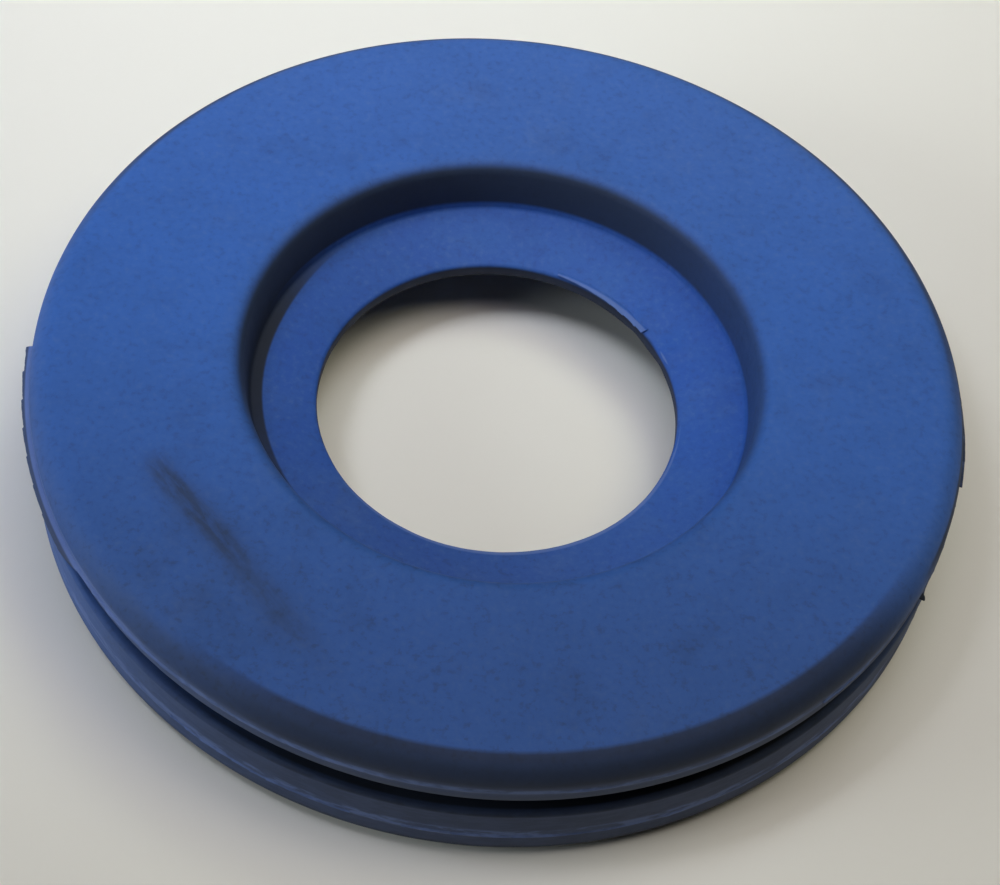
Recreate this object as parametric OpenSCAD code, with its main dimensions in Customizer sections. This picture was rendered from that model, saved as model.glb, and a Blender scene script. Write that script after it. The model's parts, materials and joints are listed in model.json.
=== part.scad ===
// Rubber panel grommet, moulded in one piece.
//
// A round hole in a sheet-metal panel is lined by the narrow groove between two flanges. A flat-topped
// upper flange has a soft-edged round recess in its middle, whose floor is a thin web that dips towards
// the bore. Underneath, the web closes a wide round hollow, so the bore can stretch over what passes
// through it. The part lies on its lower flange, with +Z up along the bore's axis and the origin in the
// middle of its underside. All sizes are millimetres.

/* [Flanges] */
// Diameter of both flanges
flange_d = 60; // [50:0.5:72]
// Thickness of the upper flange at its rim
upper_t = 3.1; // [2.5:0.1:5]
// Thickness of the lower flange at its rim
lower_t = 5.1; // [4.2:0.1:7]
// Radius of the rounded shoulder round the top face
shoulder_r = 1.6; // [0.4:0.1:2]
// Radius round the rim of the underside
base_edge_r = 1.4; // [0.2:0.1:1.8]

/* [Panel groove] */
// Width of the groove that holds the panel's edge
groove_w = 1.7; // [0.8:0.1:3]
// Depth of the groove, from the flange rim to its root
groove_depth = 4.5; // [2:0.1:5]
// Radius on the two lips of the groove
groove_lip_r = 0.3; // [0.1:0.05:0.6]
// Radius in the two corners at the groove's root
groove_root_r = 0.25; // [0.1:0.05:0.35]

/* [Top recess] */
// Diameter of the recess at its floor
recess_d = 32.4; // [30:0.1:39]
// Depth of the recess, from the top face to the edge of its floor
recess_depth = 3.7; // [2.5:0.1:4.6]
// Draft of the recess wall, in degrees
recess_draft = 8; // [1:0.5:12]
// Radius on the recess's upper edge
recess_rim_r = 1; // [0.3:0.1:2]
// Radius in the corner between the recess's wall and floor
recess_corner_r = 0.3; // [0.2:0.1:1.2]

/* [Web and bore] */
// Diameter of the bore through the web
bore_d = 23.7; // [16:0.1:28.5]
// Thickness of the web at the bore
web_lip_t = 1; // [0.6:0.1:1.4]
// How far the web's top dips between the recess wall and the bore
web_dip = 1.1; // [0:0.1:1.4]

/* [Underside hollow] */
// Diameter of the hollow at the underside
hollow_d = 35; // [32:0.5:42]
// Draft of the hollow's wall, in degrees
hollow_draft = 5; // [1:0.5:12]
// Radius in the corner between the hollow's wall and the web
hollow_corner_r = 1.2; // [0.3:0.1:2]
// Radius on the hollow's lower edge
hollow_rim_r = 0.6; // [0.2:0.1:1]

/* [Mould marks] */
// How far the parting ridges stand out from the flange rims
ridge_h = 0.15; // [0.05:0.01:0.3]
// Width of a parting ridge at its root
ridge_w = 0.44; // [0.3:0.02:0.6]
// Height of the upper parting ridge above the groove
upper_ridge_rise = 1.1; // [0.7:0.05:1.25]
// Height of the lower parting ridge above the underside
lower_ridge_rise = 2.5; // [2.1:0.1:3]
// Thickness of the flash left on the upper parting line
flash_t = 0.26; // [0.15:0.02:0.4]
// Furthest reach of the ragged flash on the -X side of the upper rim
ragged_reach = 0.62; // [0.2:0.02:1]
// Furthest reach of the narrow strip of flash on the +X side of the upper rim
strip_reach = 0.3; // [0.15:0.01:0.5]

/* [Hidden] */

rubber_blue = [0.25, 0.41, 0.68];
revolve_faces = 180;
arc_faces = 72;
past = 1; // how far a cut runs past the solid it cuts
sliver_reach = 1.05; // size of a corner's sliver against the exact one
arc_bite = 0.0003; // how far a corner's arc crosses the two edges that it rounds

flange_r = flange_d / 2;
bore_r = bore_d / 2;
total_h = lower_t + groove_w + upper_t;
groove_top_z = lower_t + groove_w;

// The section's corners, as [radius, height].
top_rim = [flange_r, total_h];
base_rim = [flange_r, 0];
lower_lip = [flange_r, lower_t];
upper_lip = [flange_r, groove_top_z];
groove_low = [flange_r - groove_depth, lower_t];
groove_high = [flange_r - groove_depth, groove_top_z];
recess_foot = [recess_d / 2, total_h - recess_depth];
recess_rim = recess_foot + [recess_depth * tan(recess_draft), recess_depth];
web_lip = [bore_r, recess_foot[1] - web_dip];
web_under = web_lip - [0, web_lip_t];
hollow_rim = [hollow_d / 2, 0];
hollow_head = [hollow_d / 2 - web_under[1] * tan(hollow_draft), web_under[1]];

upper_ridge_z = groove_top_z + upper_ridge_rise;
lower_ridge_z = lower_ridge_rise;

// Flash is left along two stretches of the upper parting line, given by their angles from +X.
ragged_from = 185.5;
ragged_to = 208;
ragged_teeth = 4.8;
strip_from = -7;
strip_to = 26;
flash_step = 0.75;
flash_root = 0.7; // how deep the flash is buried in the rim

function unit(v) = v / norm(v);
function half_angle(p, a, b) = acos(unit(a - p) * unit(b - p)) / 2;

// Where an arc of radius r that rounds the corner p, between edges towards a and b, meets the edge to a.
function arc_end(p, a, b, r) = p + unit(a - p) * r / tan(half_angle(p, a, b));
function arc_centre(p, a, b, r) = p + unit(unit(a - p) + unit(b - p)) * r / sin(half_angle(p, a, b));

// The sliver between a corner and the arc that rounds it: cut from an outside corner, added to an inside
// one. It reaches a little past the corner's two edges and its arc crosses them, so it fuses or cuts cleanly.
module corner_sliver(p, a, b, r) {
    centre = arc_centre(p, a, b, r);
    kite = [p, arc_end(p, a, b, r), centre, arc_end(p, b, a, r)];
    difference() {
        polygon([for (v = kite) centre + (v - centre) * sliver_reach]);
        translate(centre) circle(r = r + arc_bite, $fn = arc_faces);
    }
}

// The block between bore and rim, less the groove, the recess and the hollow, with every corner sharp.
module sharp_section() {
    difference() {
        translate([bore_r, 0]) square([flange_r - bore_r, total_h]);
        translate(groove_low) square([groove_depth + past, groove_w]);
        polygon([
            web_lip, recess_foot, recess_rim, recess_rim + [0, past],
            [bore_r - past, total_h + past], [bore_r - past, web_lip[1]]
        ]);
        polygon([
            [bore_r - past, -past], hollow_rim - [0, past], hollow_rim,
            hollow_head, [bore_r - past, web_under[1]]
        ]);
    }
}

module outside_corners() {
    corner_sliver(top_rim, recess_rim, upper_lip, shoulder_r);
    corner_sliver(base_rim, hollow_rim, lower_lip, base_edge_r);
    corner_sliver(lower_lip, base_rim, groove_low, groove_lip_r);
    corner_sliver(upper_lip, top_rim, groove_high, groove_lip_r);
    corner_sliver(recess_rim, top_rim, recess_foot, recess_rim_r);
    corner_sliver(hollow_rim, base_rim, hollow_head, hollow_rim_r);
}

module inside_corners() {
    corner_sliver(groove_low, lower_lip, groove_high, groove_root_r);
    corner_sliver(groove_high, upper_lip, groove_low, groove_root_r);
    corner_sliver(recess_foot, recess_rim, web_lip, recess_corner_r);
    corner_sliver(hollow_head, hollow_rim, web_under, hollow_corner_r);
}

// A low ridge round a rim, where the mould's halves met.
module parting_ridge(z) {
    polygon([
        [flange_r - ridge_h, z - ridge_w / 2 - ridge_h], [flange_r, z - ridge_w / 2],
        [flange_r + ridge_h, z],
        [flange_r, z + ridge_w / 2], [flange_r - ridge_h, z + ridge_w / 2 + ridge_h]
    ]);
}

module section() {
    difference() {
        sharp_section();
        outside_corners();
    }
    inside_corners();
    parting_ridge(upper_ridge_z);
    parting_ridge(lower_ridge_z);
}

// 0 at the start of each tooth, rising to 1 at its end.
function saw(turns) = turns - floor(turns);

// The ragged flash starts with a full step and tears away in teeth that get shorter.
function ragged_edge(t) = ragged_reach * (1 - 0.8 * t * t * t) * (0.7 + 0.3 * saw(0.2 + ragged_teeth * t));
// The strip starts with a clean step and thins out to nothing.
function strip_edge(t) = strip_reach * (1 - 0.85 * t);

// A thin fin in the parting plane, with either a ragged or a plain edge between two angles.
module flash_fin(from, to, ragged) {
    steps = ceil((to - from) / flash_step);
    rim = [for (i = [0:steps]) let (t = i / steps, a = from + (to - from) * t)
        (flange_r + ridge_h * 0.4 + (ragged ? ragged_edge(t) : strip_edge(t))) * [cos(a), sin(a)]];
    root = [for (i = [steps:-1:0]) let (a = from + (to - from) * i / steps)
        (flange_r - flash_root) * [cos(a), sin(a)]];
    translate([0, 0, upper_ridge_z - flash_t / 2]) linear_extrude(flash_t) polygon(concat(rim, root));
}

module grommet() {
    color(rubber_blue) union() {
        rotate_extrude($fn = revolve_faces) section();
        flash_fin(ragged_from, ragged_to, true);
        flash_fin(strip_from, strip_to, false);
    }
}

grommet();
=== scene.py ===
# %% [markdown]
# # The look of a moulded rubber grommet
# A panel grommet is one piece of rubber: two flanges with a narrow groove between them grip the edge of a
# sheet-metal hole, and a thin web in the middle seals round a cable or pipe. The engineering model fixes
# every size. This lesson gives the same form its finish: the rounded edges, the ragged flash that the mould
# left, and the dull, slightly dusty rubber.

# %% Load the frame
import json
import math
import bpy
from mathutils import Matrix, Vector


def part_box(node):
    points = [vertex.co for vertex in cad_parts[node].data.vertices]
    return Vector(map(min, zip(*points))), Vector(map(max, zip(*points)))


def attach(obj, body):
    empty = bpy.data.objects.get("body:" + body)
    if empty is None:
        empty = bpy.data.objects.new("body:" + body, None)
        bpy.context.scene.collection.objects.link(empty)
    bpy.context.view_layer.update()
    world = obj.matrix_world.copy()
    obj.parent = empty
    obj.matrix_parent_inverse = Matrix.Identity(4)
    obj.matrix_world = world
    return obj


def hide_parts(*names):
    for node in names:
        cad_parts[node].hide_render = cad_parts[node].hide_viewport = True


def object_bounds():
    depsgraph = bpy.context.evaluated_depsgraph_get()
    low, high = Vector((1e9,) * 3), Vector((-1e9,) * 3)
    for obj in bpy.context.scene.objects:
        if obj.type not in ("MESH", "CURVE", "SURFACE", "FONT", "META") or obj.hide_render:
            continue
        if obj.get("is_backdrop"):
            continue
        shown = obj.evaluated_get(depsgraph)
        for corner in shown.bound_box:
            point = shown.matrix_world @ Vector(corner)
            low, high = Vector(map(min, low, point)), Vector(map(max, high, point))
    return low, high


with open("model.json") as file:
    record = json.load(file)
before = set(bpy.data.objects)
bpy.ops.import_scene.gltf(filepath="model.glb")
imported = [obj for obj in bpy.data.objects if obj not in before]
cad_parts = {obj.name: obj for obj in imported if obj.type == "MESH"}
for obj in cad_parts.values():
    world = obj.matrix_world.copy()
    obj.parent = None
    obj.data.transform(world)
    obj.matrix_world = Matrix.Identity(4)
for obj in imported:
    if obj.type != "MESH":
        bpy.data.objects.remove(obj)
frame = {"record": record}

from types import SimpleNamespace

import bpy
from mathutils import Matrix, Vector

mm = 0.001
cad_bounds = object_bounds()

# %% [markdown]
# ## Sizes
# What the frame already knows is read from it: the overall height, the bore and the groove. What it doesn't
# say, such as the radius on an edge, is written once here, in millimetres, as the mould maker's drawing
# would give it.

# %% Name the sizes
low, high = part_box("grommet")
mounts = {mount["name"]: mount for mount in frame["record"]["mounts"]}
total_h = high.z
bore_r = mounts["bore"]["dims"]["r_mm"] * mm
web_t = mounts["bore"]["dims"]["length_mm"] * mm
web_top = mounts["bore"]["pos_m"][2] + web_t / 2
web_under = web_top - web_t
groove_root_r = mounts["panel_groove"]["pos_m"][0]
groove_w = 1.7 * mm
groove_low = mounts["panel_groove"]["pos_m"][2] - groove_w / 2
groove_high = groove_low + groove_w
flange_r = groove_root_r + 4.5 * mm

recess_r = 16.2 * mm
recess_depth = 3.7 * mm
recess_lean = recess_depth * math.tan(math.radians(8))
hollow_r = 17.5 * mm
hollow_lean = web_under * math.tan(math.radians(5))

ridge_h = 0.14 * mm
ridge_half_w = 0.22 * mm
upper_ridge_z = groove_high + 1.1 * mm
lower_ridge_z = 2.5 * mm
print(f"flange radius {flange_r / mm:.2f} mm, height {total_h / mm:.2f} mm, bore radius {bore_r / mm:.2f} mm")

# %% [markdown]
# ## A way to write node trees
# Geometry and materials are both node trees here. Wiring them one link at a time hides what they work out,
# so a small class wraps a socket and lets Python's own operators add the Math nodes: `1 - mask * 0.3` is
# then three sockets and two nodes. One method makes every other kind of node.


# %% Wrap sockets so that they take part in expressions
class Value:
    """One output socket, or the number that an expression starts from."""

    def __init__(self, graph, socket):
        self.graph = graph
        self.socket = socket

    def other(self, name):
        """Another output of the same node."""
        return Value(self.graph, self.socket.node.outputs[name])

    def math(self, operation, *operands, clamp=False):
        sockets = dict(enumerate((self, *operands)))
        return self.graph.node("ShaderNodeMath", {"operation": operation, "use_clamp": clamp}, sockets)

    def __add__(self, other):
        return self.math("ADD", other)

    def __sub__(self, other):
        return self.math("SUBTRACT", other)

    def __mul__(self, other):
        return self.math("MULTIPLY", other)

    def __truediv__(self, other):
        return self.math("DIVIDE", other)

    def __radd__(self, other):
        return self.graph.number(other) + self

    def __rsub__(self, other):
        return self.graph.number(other) - self

    def __rmul__(self, other):
        return self.graph.number(other) * self

    def __rtruediv__(self, other):
        return self.graph.number(other) / self

    def between(self, start, end):
        """0 below start, 1 above end and a smooth step between them; start may be the larger one."""
        ranged = {"interpolation_type": "SMOOTHSTEP"}
        return self.graph.node("ShaderNodeMapRange", ranged, {0: self, 1: start, 2: end, 3: 0.0, 4: 1.0})


class Graph:
    """Builds one node tree."""

    def __init__(self, tree):
        self.tree = tree

    def feed(self, socket, value):
        if isinstance(value, Value):
            self.tree.links.new(value.socket, socket)
        else:
            socket.default_value = value

    def node(self, kind, settings, sockets, out=0):
        made = self.tree.nodes.new(kind)
        for name, setting in settings.items():
            if name == "stops":
                ramp = made.color_ramp
                for place, colour in setting[1:-1]:
                    ramp.elements.new(place).color = colour
                ramp.elements[0].position, ramp.elements[0].color = setting[0]
                ramp.elements[-1].position, ramp.elements[-1].color = setting[-1]
            elif name == "captures":
                for item, form in setting.items():
                    made.capture_items.new(form, item)
            else:
                setattr(made, name, setting)
        for name, value in sockets.items():
            self.feed(made.inputs[name], value)
        return Value(self, made.outputs[out])

    def number(self, value):
        made = self.tree.nodes.new("ShaderNodeValue")
        made.outputs[0].default_value = value
        return Value(self, made.outputs[0])

    def vector(self, x, y, z):
        return self.node("ShaderNodeCombineXYZ", {}, {0: x, 1: y, 2: z})

    def split(self, vector):
        x = self.node("ShaderNodeSeparateXYZ", {}, {0: vector})
        return x, x.other("Y"), x.other("Z")

    def noise(self, vector, scale, detail=2.0, roughness=0.5):
        """Smooth noise from 0 to 1."""
        sockets = {"Vector": vector, "Scale": scale, "Detail": detail, "Roughness": roughness}
        return self.node("ShaderNodeTexNoise", {}, sockets)

    def finish(self, kind, surface):
        """Ends a material or a world in its output node."""
        self.feed(self.tree.nodes.new(kind).inputs["Surface"], surface)


# %% [markdown]
# ## The section
# A compression mould is turned on a lathe, so the whole grommet follows from one outline in the (radius,
# height) plane. It is written as the drawing would show it: sharp corners in order, and a radius for each.
# The two low ridges on the rims are the parting lines, where the mould's plates met. A poly curve can carry
# each corner's radius, so Geometry Nodes can round them all with one Fillet node.


# %% Draw the section's corners
def parting_ridge(z):
    """A ridge's three corners, from the top down."""
    root = 0.12 * mm
    crest = 0.05 * mm
    return [
        (flange_r, z + ridge_half_w, root),
        (flange_r + ridge_h, z, crest),
        (flange_r, z - ridge_half_w, root),
    ]


section_corners = [
    (bore_r, web_top, 0.35 * mm),
    (recess_r, total_h - recess_depth, 0.3 * mm),
    (recess_r + recess_lean, total_h, 1.0 * mm),
    (flange_r, total_h, 1.6 * mm),
    *parting_ridge(upper_ridge_z),
    (flange_r, groove_high, 0.3 * mm),
    (groove_root_r, groove_high, 0.25 * mm),
    (groove_root_r, groove_low, 0.25 * mm),
    (flange_r, groove_low, 0.3 * mm),
    *parting_ridge(lower_ridge_z),
    (flange_r, 0.0, 1.4 * mm),
    (hollow_r, 0.0, 0.6 * mm),
    (hollow_r - hollow_lean, web_under, 1.2 * mm),
    (bore_r, web_under, 0.15 * mm),
]


def closed_outline(name, corners):
    """A closed poly curve in its own XY plane, with each corner's rounding kept as the point's radius."""
    curve = bpy.data.curves.new(name, "CURVE")
    curve.dimensions = "3D"
    spline = curve.splines.new("POLY")
    spline.points.add(len(corners) - 1)
    for point, (x, y, rounding) in zip(spline.points, corners):
        point.co = (x, y, 0.0, 1.0)
        point.radius = rounding
    spline.use_cyclic_u = True
    outline = bpy.data.objects.new(name, curve)
    bpy.context.scene.collection.objects.link(outline)
    return outline


section = closed_outline("section", section_corners)
print(f"section: {len(section_corners)} corners")

# %% [markdown]
# ## Trees that become plain meshes
# A Geometry Nodes tree is a recipe, and the finished part has to be a plain mesh. These helpers give a tree
# named inputs, run it once on an empty mesh, keep the result and take the modifier away again. The signed
# volume of the result tells whether its faces point outwards.


# %% Run a tree and keep its mesh
def new_tree(name, inputs):
    """A tree with named inputs, given as name: (socket type, default). Returns its graph and its inputs."""
    tree = bpy.data.node_groups.new(name, "GeometryNodeTree")
    tree.interface.new_socket("Geometry", in_out="INPUT", socket_type="NodeSocketGeometry")
    tree.interface.new_socket("Geometry", in_out="OUTPUT", socket_type="NodeSocketGeometry")
    for label, (kind, default) in inputs.items():
        socket = tree.interface.new_socket(label, in_out="INPUT", socket_type=kind)
        if default is not None:
            socket.default_value = default
    graph = Graph(tree)
    entry = tree.nodes.new("NodeGroupInput")
    return graph, {label: Value(graph, entry.outputs[label]) for label in inputs}


def end_tree(graph, geometry, material):
    """The last steps of every tree: smooth faces, real geometry and the material."""
    smooth = graph.node("GeometryNodeSetShadeSmooth", {}, {"Geometry": geometry})
    real = graph.node("GeometryNodeRealizeInstances", {}, {"Geometry": smooth})
    painted = graph.node("GeometryNodeSetMaterial", {}, {"Geometry": real, "Material": material})
    leave = graph.tree.nodes.new("NodeGroupOutput")
    graph.tree.links.new(painted.socket, leave.inputs[0])


def signed_volume(mesh):
    mesh.calc_loop_triangles()
    corners = [vertex.co for vertex in mesh.vertices]
    total = 0.0
    for triangle in mesh.loop_triangles:
        a, b, c = (corners[i] for i in triangle.vertices)
        total += a.dot(b.cross(c)) / 6
    return total


def grow(name, graph, values):
    """Runs a tree with these input values and returns a plain mesh object named name."""
    host = bpy.data.objects.new(name, bpy.data.meshes.new(name + "_seed"))
    bpy.context.scene.collection.objects.link(host)
    modifier = host.modifiers.new("recipe", "NODES")
    modifier.node_group = graph.tree
    for item in graph.tree.interface.items_tree:
        if item.in_out == "INPUT" and item.name in values:
            modifier[item.identifier] = values[item.name]
    depsgraph = bpy.context.evaluated_depsgraph_get()
    mesh = bpy.data.meshes.new_from_object(host.evaluated_get(depsgraph), depsgraph=depsgraph)
    host.modifiers.remove(modifier)
    host.data = mesh
    mesh.name = name
    if signed_volume(mesh) < 0:
        mesh.flip_normals()
    triangles = sum(len(face.vertices) - 2 for face in mesh.polygons)
    print(f"{name}: {triangles} triangles, {signed_volume(mesh) * 1e9:.2f} mm3")
    return host


# %% [markdown]
# ## Staying inside the mould
# Nothing that the mould shaped can be larger than its cavity. Every tree ends its shaping with this step: a
# point that noise or a ragged edge pushed outside the engineering model's box is brought back to its face.


# %% Keep points inside the box
def inside_box(graph, position):
    clearance = 0.002 * mm
    least = (low.x + clearance, low.y + clearance, low.z)
    most = (high.x - clearance, high.y - clearance, high.z)
    raised = graph.node("ShaderNodeVectorMath", {"operation": "MAXIMUM"}, {0: position, 1: least})
    return graph.node("ShaderNodeVectorMath", {"operation": "MINIMUM"}, {0: raised, 1: most})


# %% [markdown]
# ## Rubber material, in layers
# The rubber is coloured right through and has no coat: it is dull, with a fine grain from the mould's
# surface, and handling has left it a little dusty, smudged and scuffed. Some layers are painted shade and
# painted light: the walls, groove, bore and sides that face the viewer are painted darker, and the far half
# of the top, the parting lines and the flash on the left are painted paler. One flat blue would look like
# plastic. Each layer below is a mask from 0 to 1 that depends only on where a point lies on the part, so
# the pattern stays put from every side.


# %% Mix colours and read places
def mix_colours(graph, factor, first, second):
    return graph.node("ShaderNodeMix", {"data_type": "RGBA"}, {0: factor, 6: first, 7: second}, out=2)


def highest(*masks):
    """The largest of several masks, so that layers which overlap don't add up."""
    largest = masks[0]
    for mask in masks[1:]:
        largest = largest.math("MAXIMUM", mask)
    return largest


def new_material(name):
    material = bpy.data.materials.new(name)
    material.use_nodes = True
    material.node_tree.nodes.clear()
    return material, Graph(material.node_tree)


def place_in_mm(graph):
    """The point's own place on the part, in millimetres."""
    place = graph.node("ShaderNodeTexCoord", {}, {}, out="Object")
    return graph.node("ShaderNodeVectorMath", {"operation": "SCALE"}, {0: place, "Scale": 1 / mm})


# %% [markdown]
# ### Where the layers lie
# A region of a round part is a span of radius, a span of height and the side that it faces. All three follow
# from a point's own place, so one function gives every region a name. The side is the cosine of the angle to
# a bearing: 1 straight at it, 0 a quarter turn away. Bearings run from +X towards +Y, and the front is -Y.


# %% Name the regions
def name_regions(graph, place):
    x, y, z = graph.split(place)
    radius = (x * x + y * y).math("SQRT")

    def facing(bearing):
        return (x * math.cos(math.radians(bearing)) + y * math.sin(math.radians(bearing))) / radius

    at = SimpleNamespace()
    at.front = facing(286).between(0.58, 0.88)
    at.round_front = facing(285).between(0.30, 0.95)
    at.left = facing(200).between(0.30, 0.90)
    at.right = facing(0).between(0.80, 0.90)
    at.not_right = 1 - facing(0).between(0.80, 0.96)
    # The near and the far half, where painted shade and painted light make the top fall off towards the
    # viewer.
    at.handled = y.between(2.0, -27.0)
    at.settled = y.between(4.0, 27.0)

    at.web = radius.between(16.6, 16.1) * z.between(4.6, 5.0)
    past_foot = radius - (16.1 - at.left * 0.7)
    corner_clear = z.between(6.5, 6.9).math("MAXIMUM", at.left)
    recess_span = radius.between(18.6, 17.4) * past_foot.between(-0.1, 0.1)
    at.recess_wall = recess_span * z.between(9.96, 9.4) * corner_clear
    at.wall_shade = (0.50 + facing(125).between(-0.9, 0.75) * 0.41) * facing(90).between(-0.9, -0.2)
    at.recess_corner = at.recess_wall * at.left * radius.between(16.6, 16.2)
    at.bore_wall = radius.between(12.25, 11.95) * z.between(5.08, 4.85)
    at.bore_lip = radius.between(12.12, 12.0) * z.between(5.15, 5.2)
    at.hollow = radius.between(17.9, 17.6) * z.between(4.35, 4.15)

    at.shoulder = radius.between(28.25, 28.65) * z.between(7.7, 8.3)
    at.shoulder_foot = radius.between(28.8, 29.5)
    at.side = radius.between(28.5, 29.6)
    at.low_side = at.side * z.between(5.2, 4.9)
    at.ground = at.side * z.between(2.1, 1.0)
    groove_depth = radius.between(29.70, 29.45) * radius.between(25.2, 25.4)
    at.groove = groove_depth * z.between(4.95, 5.07) * z.between(6.95, 6.75)
    at.upper_lip = radius.between(29.4, 29.7) * z.between(6.55, 6.65) * z.between(7.75, 7.45) * at.round_front
    at.right_lip = at.side * z.between(7.6, 7.2) * facing(330).between(0.5, 0.9)
    at.back_rim = radius.between(28.9, 29.4) * facing(85).between(-0.1, 0.5)
    at.right_rim = radius.between(29.70, 29.85) * z.between(6.6, 6.8) * facing(8).between(0.84, 0.90)

    upper_line = z.between(7.70, 7.92) * z.between(8.30, 8.05)
    lower_line = z.between(2.20, 2.55) * z.between(3.30, 2.95)
    at.parting_lines = at.side * (upper_line + lower_line)
    # A band on the left side, painted paler: torn rubber, and a painted highlight where light from the left
    # falls.
    torn_height = z.between(7.3, 7.7) * z.between(8.40, 8.15)
    at.torn_side = radius.between(29.75, 29.9) * torn_height * facing(203).between(0.80, 0.95)
    at.flash = radius.between(29.97, 30.05)
    at.flash_tip = radius.between(30.24, 30.36)
    return at


# %% [markdown]
# ### The scuff
# Something dark was dragged across the top face. It left a thin, torn core of rubbed dirt in a wider, softer
# halo. Noise that is stretched along the streak tears the core, and the streak fades out at both ends.


# %% Rub the scuff
def scuff_mask(graph, place):
    x, y, z = graph.split(place)
    along = (x - y) * math.sqrt(0.5)
    across = (x + y) * math.sqrt(0.5) + 22.6
    streaky = graph.vector(along * 0.28, across * 1.3, 0.0)
    torn = graph.noise(streaky, 1.3, 3.0, 0.65).between(0.34, 0.60)
    off_line = (across + graph.noise(place, 0.35, 2.0) * 1.2 - 0.6).math("ABSOLUTE")
    halo = off_line.between(2.4, 0.3) * 0.34
    core = off_line.between(1.25, 0.2) * (along.between(4.5, 1.0) * 0.45 + 0.45)
    reach = along.between(-7.6, -4.6) * along.between(14.0, 6.0)
    return (halo + core * (torn * 0.65 + 0.35)) * reach * z.between(9.0, 9.6)


# %% [markdown]
# ### The layers
# The material is a list of layers from the bottom up: each is a mask and the colour that shows where the mask
# is 1. Dust and painted light lighten the rubber, smudges and painted shade dull it, a deeper painted shade
# fills the groove, the bore wall and the corners, and torn rubber is paler than moulded rubber, with painted
# highlights on the parting lines, the bore lip and the flash.

# %% Lay the layers
RUBBER = (0.037, 0.130, 0.450, 1.0)
RUBBER_WEB = (0.022, 0.090, 0.385, 1.0)
RUBBER_DEEP = (0.033, 0.112, 0.375, 1.0)
# A whitish bloom for dust and painted light, a paler blue for torn rubber and painted highlights, a dull grey
# for grime and painted shade, and near black for a deeper painted shade.
BLOOM_AND_LIGHT = (0.110, 0.180, 0.400, 1.0)
TORN_AND_HIGHLIGHT = (0.150, 0.220, 0.460, 1.0)
GRIME_AND_SHADE = (0.025, 0.033, 0.050, 1.0)
DEEP_SHADE = (0.010, 0.012, 0.018, 1.0)


def rubber_material():
    material, graph = new_material("dull_blue_rubber")
    place = place_in_mm(graph)
    x, y, z = graph.split(place)
    at = name_regions(graph, place)

    broad = graph.noise(place, 0.07, 2.0)
    mottle = graph.noise(place, 0.55, 4.0, 0.6)
    fine = graph.noise(place, 2.1, 3.0, 0.6)
    dust = graph.noise(place, 0.16, 3.0, 0.6).between(0.50, 0.75) * mottle.between(0.35, 0.7)
    smudge = graph.noise(place, 0.23, 4.0, 0.65).between(0.52, 0.78)
    wiped = graph.noise(graph.vector(x * 0.5, y * 0.5, z * 2.0), 1.0, 3.0, 0.65).between(0.42, 0.60)

    deep = broad.between(0.3, 0.75) * 0.45 + mottle.between(0.35, 0.65) * 0.30
    # Dust and a whitish bloom lighten at random and on the sides; the far half of the top and the front of
    # the web are painted lighter, as painted light.
    dust_and_light = dust * 0.22 + fine.between(0.50, 0.75) * 0.22 + at.side * 0.15 + at.settled * 0.16
    dust_and_light = dust_and_light + at.web * at.handled * 0.25
    # Smudges darken at random; the near half of the part is painted darker, as painted shade.
    smudge_and_shade = smudge * 0.16 + fine.between(0.50, 0.25) * 0.24 + at.handled * 0.32
    # Painted shade: the sides that face the viewer, the recess wall, the groove's upper lip, the lower
    # flange, the hollow and the back and right rims are painted darker.
    painted_shade = highest(
        at.side * (at.round_front * at.not_right * 0.72 + 0.04) + at.low_side * at.round_front * 0.10,
        at.recess_wall * at.wall_shade,
        at.upper_lip * 0.88,
        at.ground * (0.35 + at.round_front * 0.45),
        at.hollow * 0.8,
        at.back_rim * 0.75,
        at.right_lip * 0.7,
    )
    # A deeper painted shade: the bore wall, the groove, the flash on the right, the front shoulder and sides,
    # the right rim and the foot of the left recess wall.
    deep_painted_shade = highest(
        at.bore_wall * 0.9,
        at.groove * (at.front * 0.75 + 0.20),
        at.flash * at.right * 0.9,
        at.shoulder * at.front * (0.78 - at.shoulder_foot * 0.30),
        at.side * at.round_front * (at.low_side * 0.30 + 0.20) * at.not_right,
        at.right_rim * 0.85,
        at.recess_corner * 0.6,
    )
    # The parting lines are painted paler: wiped, torn rubber with a painted highlight along them.
    streaks_and_highlight = at.parting_lines * (wiped * 0.40 + 0.10) + at.low_side * wiped * 0.06
    # Painted highlight with paler torn rubber: the flash except on the right, the bore lip and the band on
    # the left side.
    pale = highest(at.flash * (1 - at.right) * 0.45, at.bore_lip * 0.6, at.torn_side * 0.75)

    layers = [
        (at.web, RUBBER_WEB),
        (deep, RUBBER_DEEP),
        (dust_and_light, BLOOM_AND_LIGHT),
        (smudge_and_shade, GRIME_AND_SHADE),
        (painted_shade, GRIME_AND_SHADE),
        (deep_painted_shade, DEEP_SHADE),
        (scuff_mask(graph, place) * 0.58, GRIME_AND_SHADE),
        (streaks_and_highlight, TORN_AND_HIGHLIGHT),
        (pale, TORN_AND_HIGHLIGHT),
        # Painted shade along the flash's outer edge.
        (at.flash_tip * 0.75, GRIME_AND_SHADE),
    ]
    colour = RUBBER
    for mask, paint in layers:
        colour = mix_colours(graph, mask, colour, paint)

    roughness = 0.66 + (mottle - 0.5) * 0.14 + smudge * 0.06
    height = graph.noise(place, 3.2, 3.0, 0.55) * 0.020 + graph.noise(place, 0.9, 2.0) * 0.05
    bump = graph.node("ShaderNodeBump", {}, {"Strength": 0.5, "Distance": mm, "Height": height})
    finish = {"Base Color": colour, "Roughness": roughness, "Normal": bump}
    finish.update({"IOR": 1.5, "Specular IOR Level": 0.3})
    graph.finish("ShaderNodeOutputMaterial", graph.node("ShaderNodeBsdfPrincipled", {}, finish))
    return material


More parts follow.
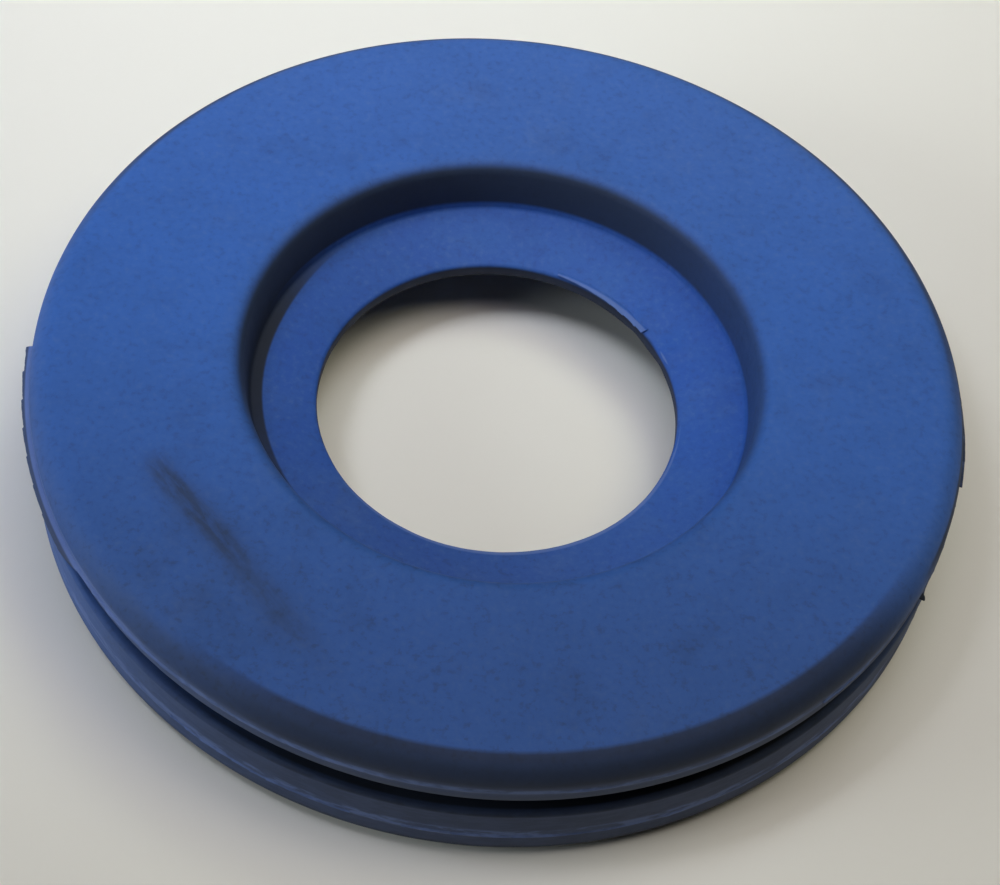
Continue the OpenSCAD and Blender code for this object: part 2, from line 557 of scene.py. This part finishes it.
rubber = rubber_material()
print("rubber nodes:", len(rubber.node_tree.nodes))

# %% [markdown]
# ## The moulded body
# Spinning the section by hand would give a mesh with no handle on it. Here the section is rounded, divided
# and swept along a unit circle, and each point is then placed by its own radius, height and turn. That
# keeps those three numbers at hand, so the parting ridges can be made uneven and the soft flats can sag a
# few hundredths of a millimetre, as cured rubber does.


# %% Revolve the section
def revolved_body_tree():
    inputs = {
        "Section": ("NodeSocketObject", None),
        "Steps": ("NodeSocketInt", 660),
        "Longest edge": ("NodeSocketFloat", 0.7 * mm),
        "Longest edge below": ("NodeSocketFloat", 3.0 * mm),
        "Sag": ("NodeSocketFloat", 0.06 * mm),
        "Web wave": ("NodeSocketFloat", 0.16 * mm),
        "Ridge wear": ("NodeSocketFloat", 0.85),
        "Bore wander": ("NodeSocketFloat", 0.08 * mm),
        "Trim side": ("NodeSocketFloat", math.radians(288)),
        "Trim undercut": ("NodeSocketFloat", 0.18 * mm),
        "Web lift": ("NodeSocketFloat", 0.18 * mm),
        "Dent place": ("NodeSocketVector", (10.2 * mm, 7.6 * mm, 0.0)),
        "Dent radius": ("NodeSocketFloat", 1.5 * mm),
        "Dent depth": ("NodeSocketFloat", 0.22 * mm),
        "Material": ("NodeSocketMaterial", None),
    }
    graph, given = new_tree("Revolve a section", inputs)

    corners = graph.node("GeometryNodeObjectInfo", {}, {"Object": given["Section"]}, out="Geometry")
    rounding = graph.node("GeometryNodeInputRadius", {}, {})
    arc_points = (3 + rounding / (0.18 * mm)).math("FLOOR")
    rounded = graph.node(
        "GeometryNodeFilletCurve",
        {"mode": "POLY"},
        {"Curve": corners, "Count": arc_points, "Radius": rounding},
    )

    here = graph.node("GeometryNodeInputPosition", {}, {})
    following = graph.node("GeometryNodeOffsetPointInCurve", {}, {"Offset": 1}, out="Point Index")
    there = graph.node(
        "GeometryNodeFieldAtIndex", {"data_type": "FLOAT_VECTOR"}, {"Index": following, "Value": here}
    )
    length = graph.node("ShaderNodeVectorMath", {"operation": "DISTANCE"}, {0: here, 1: there}, out="Value")
    _, level, _ = graph.split(here)
    below = level.between(web_top - 0.1 * mm, web_top - 0.4 * mm)
    longest = given["Longest edge"] + (given["Longest edge below"] - given["Longest edge"]) * below
    cuts = (length / longest).math("FLOOR")
    divided = graph.node("GeometryNodeSubdivideCurve", {}, {"Curve": rounded, "Cuts": cuts})
    profile = graph.node(
        "GeometryNodeCaptureAttribute",
        {"captures": {"Place": "VECTOR"}},
        {"Geometry": divided, "Place": here},
    )

    circle = graph.node(
        "GeometryNodeCurvePrimitiveCircle",
        {"mode": "RADIUS"},
        {"Resolution": given["Steps"], "Radius": 1.0},
    )
    index = graph.node("GeometryNodeInputIndex", {}, {})
    rail = graph.node(
        "GeometryNodeCaptureAttribute",
        {"captures": {"Turn": "FLOAT"}},
        {"Geometry": circle, "Turn": index / given["Steps"]},
    )
    swept = graph.node("GeometryNodeCurveToMesh", {}, {"Curve": rail, "Profile Curve": profile})

    radius, height, _ = graph.split(profile.other("Place"))
    angle = rail.other("Turn") * math.tau
    east, north = angle.math("COSINE"), angle.math("SINE")
    around = graph.vector(east * flange_r / mm, north * flange_r / mm, height / mm)

    torn = graph.noise(around, 0.35, 2.0).between(0.35, 0.65)
    torn = torn * graph.noise(around, 1.6, 3.0, 0.7).between(0.3, 0.7)
    proud = (radius - flange_r).math("MAXIMUM", 0.0)
    worn_radius = radius - proud * (1 - torn) * given["Ridge wear"]
    spread = graph.vector(radius * east / mm, radius * north / mm, 0.0)
    at_bore = radius.between(bore_r + 1.5 * mm, bore_r) * height.between(web_under - 1 * mm, web_under)
    toward = (angle - given["Trim side"]).math("COSINE").math("MAXIMUM", 0.0)
    toward = toward * toward
    wander = (graph.noise(spread, 0.30, 3.0) - 0.5) * given["Bore wander"]
    trimmed = wander - toward * given["Trim undercut"]
    wandering = worn_radius + trimmed * at_bore

    sag = graph.noise(spread, 0.12, 2.0) * given["Sag"] * height.between(0.3 * total_h, total_h)
    near_bore = radius.between(recess_r, bore_r)
    wave = (graph.noise(spread, 0.11, 1.0) - 0.5) * given["Web wave"]
    wave = (wave + toward * given["Web lift"]) * near_bore
    on_web = height.between(web_under - 2 * mm, web_under)
    here_flat = graph.vector(radius * east, radius * north, 0.0)
    away = graph.node(
        "ShaderNodeVectorMath", {"operation": "DISTANCE"}, {0: here_flat, 1: given["Dent place"]}, out="Value"
    )
    away = away / given["Dent radius"]
    pressed = away.between(1.0, 0.0) - away.between(0.7, 1.3) * away.between(1.9, 1.3) * 0.45
    lifted = height - sag + (wave - pressed * given["Dent depth"]) * on_web

    position = graph.vector(wandering * east, wandering * north, lifted)
    shaped = graph.node(
        "GeometryNodeSetPosition", {}, {"Geometry": swept, "Position": inside_box(graph, position)}
    )
    end_tree(graph, shaped, given["Material"])
    return graph


body = grow("moulded_body", revolved_body_tree(), {"Section": section, "Material": rubber})
bpy.data.objects.remove(section)
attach(body, "root")
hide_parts("grommet")

# %% [markdown]
# ## Flash
# Rubber creeps into the joint between the mould's plates and cures there as a thin skin. It is torn off by
# hand, and what stays behind is ragged. A fin is a strip of the parting plane: it follows the rim from one
# angle to another, is buried in the rim at its root and ends in teeth. One tree makes them all, with the
# stretch, the reach and the raggedness as inputs, and flat caps close its two ends.


# %% Make flash with one tree
def flash_tree():
    inputs = {
        "From": ("NodeSocketFloat", 0.0),
        "Sweep": ("NodeSocketFloat", 30.0),
        "Root radius": ("NodeSocketFloat", flange_r - 0.5 * mm),
        "Edge radius": ("NodeSocketFloat", flange_r),
        "Height": ("NodeSocketFloat", upper_ridge_z),
        "Reach": ("NodeSocketFloat", 0.3 * mm),
        "End reach": ("NodeSocketFloat", 0.1 * mm),
        "Raggedness": ("NodeSocketFloat", 0.3),
        "Tooth angle": ("NodeSocketFloat", 4.5),
        "Thickness": ("NodeSocketFloat", 0.26 * mm),
        "Droop": ("NodeSocketFloat", 0.0),
        "Seed": ("NodeSocketFloat", 0.0),
        "Material": ("NodeSocketMaterial", None),
    }
    graph, given = new_tree("Flash fin", inputs)
    index = graph.node("GeometryNodeInputIndex", {}, {})

    steps = (given["Sweep"] / 0.2).math("CEIL") + 1
    line = graph.node(
        "GeometryNodeCurvePrimitiveLine", {}, {"Start": (0.0, 0.0, 0.0), "End": (0.0, 0.0, 1.0)}
    )
    points = graph.node("GeometryNodeResampleCurve", {"mode": "COUNT"}, {"Curve": line, "Count": steps})
    rail = graph.node(
        "GeometryNodeCaptureAttribute",
        {"captures": {"Along": "FLOAT"}},
        {"Geometry": points, "Along": index / (steps - 1)},
    )
    loop = graph.node(
        "GeometryNodeCurvePrimitiveCircle", {"mode": "RADIUS"}, {"Resolution": 12, "Radius": 1.0}
    )
    profile = graph.node(
        "GeometryNodeCaptureAttribute",
        {"captures": {"Place": "VECTOR"}},
        {"Geometry": loop, "Place": graph.node("GeometryNodeInputPosition", {}, {})},
    )
    swept = graph.node(
        "GeometryNodeCurveToMesh", {}, {"Curve": rail, "Profile Curve": profile, "Fill Caps": True}
    )

    along = rail.other("Along")
    out, up, _ = graph.split(profile.other("Place"))
    degrees = given["From"] + along * given["Sweep"]
    angle = degrees * math.radians(1)
    tooth = 1 - (degrees / given["Tooth angle"] + given["Seed"]).math("FRACT")
    rough = graph.noise(graph.vector(degrees * 0.8, given["Seed"], 0.0), 1.0, 4.0, 0.7)
    raggedness = given["Raggedness"] * (1 - along * 0.7)
    ragged = (1 - raggedness) + raggedness * (tooth * 0.6 + rough * 0.9 - 0.25)
    fade = given["Reach"] + (given["End reach"] - given["Reach"]) * along * along
    edge = given["Edge radius"] + fade * ragged
    share = (out + 1) / 2
    radius = given["Root radius"] + (edge - given["Root radius"]) * share
    thin = 1 - share * 0.45
    curl = (graph.noise(graph.vector(degrees * 0.25, given["Seed"] + 7, 0.0), 1.0, 2.0) - 0.5) * 0.25 * mm
    outer = share * share * share
    height = given["Height"] + up * thin * given["Thickness"] / 2 + (curl - given["Droop"]) * outer

    position = graph.vector(radius * angle.math("COSINE"), radius * angle.math("SINE"), height)
    shaped = graph.node(
        "GeometryNodeSetPosition", {}, {"Geometry": swept, "Position": inside_box(graph, position)}
    )
    end_tree(graph, shaped, given["Material"])
    return graph


flash = flash_tree()

# %% [markdown]
# ### Where the flash is
# Angles run from +X towards +Y. The widest piece is on the left of the upper rim: it starts with a clean
# step and tears away in saw teeth. A narrow strip is left on the right, with a nib near it, and torn bits
# cling to both parting lines at the front. The bore's edge was trimmed by hand, which left a raised lip on
# one stretch. Its edge faces inwards, so its reach is negative.

# %% Place the flash
flash_places = {
    "flash_left": {
        "From": 185.5, "Sweep": 28.5, "Edge radius": flange_r + 0.02 * mm, "Reach": 0.52 * mm,
        "End reach": 0.60 * mm, "Raggedness": 0.34, "Tooth angle": 4.2, "Seed": 0.953, "Droop": 0.10 * mm,
    },
    "flash_left_end": {
        "From": 213.8, "Sweep": 5.2, "Edge radius": flange_r + 0.02 * mm, "Reach": 0.60 * mm,
        "End reach": 0.24 * mm, "Raggedness": 0.10, "Tooth angle": 9.0, "Seed": 0.1, "Droop": 0.10 * mm,
    },
    "flash_left_tail": {
        "From": 218.6, "Sweep": 20.0, "Edge radius": flange_r + 0.04 * mm, "Reach": 0.20 * mm,
        "End reach": 0.04 * mm, "Raggedness": 0.5, "Tooth angle": 3.1, "Seed": 3.3, "Droop": 0.05 * mm,
    },
    "flash_right": {
        "From": -6.7, "Sweep": 36.0, "Edge radius": flange_r + 0.02 * mm, "Reach": 0.28 * mm,
        "End reach": 0.05 * mm, "Raggedness": 0.15, "Tooth angle": 9.0, "Seed": 2.3, "Droop": 0.1 * mm,
    },
    "flash_nib": {
        "From": -23.6, "Sweep": 0.8, "Reach": 0.40 * mm, "End reach": 0.14 * mm, "Raggedness": 0.3,
        "Tooth angle": 3.0, "Seed": 5.1, "Height": groove_high + 0.4 * mm, "Droop": 0.05 * mm,
    },
    "flash_front_right": {
        "From": 316.0, "Sweep": 8.0, "Edge radius": flange_r + 0.02 * mm, "Reach": 0.15 * mm,
        "End reach": 0.06 * mm, "Raggedness": 0.6, "Tooth angle": 2.7, "Seed": 6.2,
    },
    "flash_low_left": {
        "From": 236.0, "Sweep": 24.0, "Edge radius": flange_r + 0.02 * mm, "Reach": 0.13 * mm,
        "End reach": 0.09 * mm, "Raggedness": 0.9, "Tooth angle": 2.3, "Seed": 4.4, "Height": lower_ridge_z,
    },
    "flash_low_front": {
        "From": 266.0, "Sweep": 28.0, "Edge radius": flange_r + 0.02 * mm, "Reach": 0.12 * mm,
        "End reach": 0.05 * mm, "Raggedness": 0.9, "Tooth angle": 3.4, "Seed": 8.1, "Height": lower_ridge_z,
    },
    "bore_lip": {
        "From": 40.5, "Sweep": 36.0, "Root radius": bore_r + 0.5 * mm, "Edge radius": bore_r + 0.08 * mm,
        "Reach": -0.36 * mm, "End reach": -0.02 * mm, "Raggedness": 0.35, "Tooth angle": 6.0, "Seed": 1.7,
        "Height": web_top + 0.03 * mm, "Thickness": 0.26 * mm, "Droop": -0.12 * mm,
    },
}
for name, sizes in flash_places.items():
    fin = grow(name, flash, {**sizes, "Material": rubber})
    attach(fin, "root")

# %% [markdown]
# ## Floor, light and camera
# A pale matt floor and soft lights above and behind suit a dull rubber part: the top face is clear, and the
# walls that face the viewer stay dark enough to read as walls. Real lamps fall off with distance, so a low
# view would show a dark far floor. Past the part's surroundings the floor fades into the same white that the
# background shows, for the camera's rays only, so it adds no light.


# %% Lay the floor
PALE_FLOOR = (0.93, 0.87, 0.76, 1.0)
WHITE = (1.0, 1.0, 1.0, 1.0)
background_seen = 0.80
floor_half = 3.0
lit_floor_mm = 70.0
backdrop_mm = 260.0


def floor_material():
    material, graph = new_material("pale_floor")
    matt = graph.node("ShaderNodeBsdfPrincipled", {}, {"Base Color": PALE_FLOOR, "Roughness": 0.7})
    backdrop = graph.node("ShaderNodeEmission", {}, {"Color": WHITE, "Strength": background_seen})
    x, y, _ = graph.split(place_in_mm(graph))
    far = (x * x + y * y).math("SQRT").between(lit_floor_mm, backdrop_mm)
    seen = graph.node("ShaderNodeLightPath", {}, {}, out="Is Camera Ray")
    surface = graph.node("ShaderNodeMixShader", {}, {0: far * seen, 1: matt, 2: backdrop})
    graph.finish("ShaderNodeOutputMaterial", surface)
    return material


floor_mesh = bpy.data.meshes.new("floor")
floor_corners = [(x * floor_half, y * floor_half, 0) for x, y in ((-1, -1), (1, -1), (1, 1), (-1, 1))]
floor_mesh.from_pydata(floor_corners, [], [(0, 1, 2, 3)])
floor_mesh.materials.append(floor_material())
floor = bpy.data.objects.new("floor", floor_mesh)
bpy.context.scene.collection.objects.link(floor)
floor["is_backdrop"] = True


# %% [markdown]
# ### Light
# Two large lamps from the right and the left and one overhead light the part and give it soft shadows. Two
# small ones with a grid in front of them light only its far side, so the top face falls off gently towards
# the viewer. A grid narrows a lamp's beam; without one it spreads over a half turn. The background is seen
# by the camera alone and adds almost no light.

# %% Light it
lamps = {
    "key": {
        "place": (-0.14, 0.02, 0.28), "aim": (-0.02, 0.07, 0.0), "size": 0.12, "power": 0.037,
        "colour": (0.74, 0.83, 1.0), "beam": 42,
    },
    "back": {
        "place": (0.04, 0.16, 0.26), "aim": (0.0, 0.06, 0.0), "size": 0.12, "power": 0.009,
        "colour": (0.85, 1.0, 0.98), "beam": 42,
    },
    "overhead": {
        "place": (0.0, 0.0, 0.45), "aim": (0.0, 0.0, 0.0), "size": 0.30, "power": 0.44,
        "colour": (0.84, 0.82, 1.0), "beam": 180,
    },
    "warm_right": {
        "place": (0.196, 0.076, 0.397), "aim": (0.0, 0.0, 0.0), "size": 0.30, "power": 0.455,
        "colour": (1.0, 0.98, 0.76), "beam": 180,
    },
    "low_left": {
        "place": (-0.392, -0.143, 0.169), "aim": (0.0, 0.0, 0.0), "size": 0.20, "power": 0.66,
        "colour": (0.80, 0.92, 1.0), "beam": 180,
    },
}
for name, lamp in lamps.items():
    light = bpy.data.lights.new(name, "AREA")
    light.shape = "DISK"
    light.size = lamp["size"]
    light.energy = lamp["power"]
    light.color = lamp["colour"]
    light.spread = math.radians(lamp["beam"])
    stand = bpy.data.objects.new(name, light)
    bpy.context.scene.collection.objects.link(stand)
    stand.location = lamp["place"]
    stand.rotation_euler = (Vector(lamp["aim"]) - Vector(lamp["place"])).to_track_quat("-Z", "Y").to_euler()

background_light = 0.02
world = bpy.data.worlds.new("studio")
bpy.context.scene.world = world
world.use_nodes = True
world.node_tree.nodes.clear()
sky = Graph(world.node_tree)
seen = sky.node("ShaderNodeLightPath", {}, {}, out="Is Camera Ray")
strength = seen * (background_seen - background_light) + background_light
background = sky.node("ShaderNodeBackground", {}, {"Color": WHITE, "Strength": strength})
sky.finish("ShaderNodeOutputWorld", background)
print("lamps:", ", ".join(lamps))

# %% [markdown]
# ### Camera
# The camera looks down at the part from the front at about 53 degrees and is rolled by 8 degrees. Its turn is
# built from three directions: right, up and back.

# %% Set the camera
view_elevation = math.radians(53.403)
view_roll = math.radians(8.057)
view_distance = 150 * mm
view_aim = Vector((0.486 * mm, -3.130 * mm, web_top))

forward = Vector((0, math.cos(view_elevation), -math.sin(view_elevation)))
level_up = Vector((0, math.sin(view_elevation), math.cos(view_elevation)))
level_right = Vector((1, 0, 0))
right = level_right * math.cos(view_roll) + level_up * math.sin(view_roll)
up = level_up * math.cos(view_roll) - level_right * math.sin(view_roll)

lens = bpy.data.cameras.new("camera")
lens.sensor_width = 36
lens.lens = 83.34
lens.clip_start = 0.005
camera = bpy.data.objects.new("camera", lens)
bpy.context.scene.collection.objects.link(camera)
turn = Matrix((right, up, -forward)).transposed().to_4x4()
camera.matrix_world = Matrix.Translation(view_aim - forward * view_distance) @ turn
bpy.context.scene.camera = camera
bpy.context.scene.view_settings.view_transform = "Standard"

# %% Print the sizes of both models
visual_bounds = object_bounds()
sizes = {
    "cad": [list(corner) for corner in cad_bounds],
    "visual": [list(corner) for corner in visual_bounds],
}
print("size:", sizes)
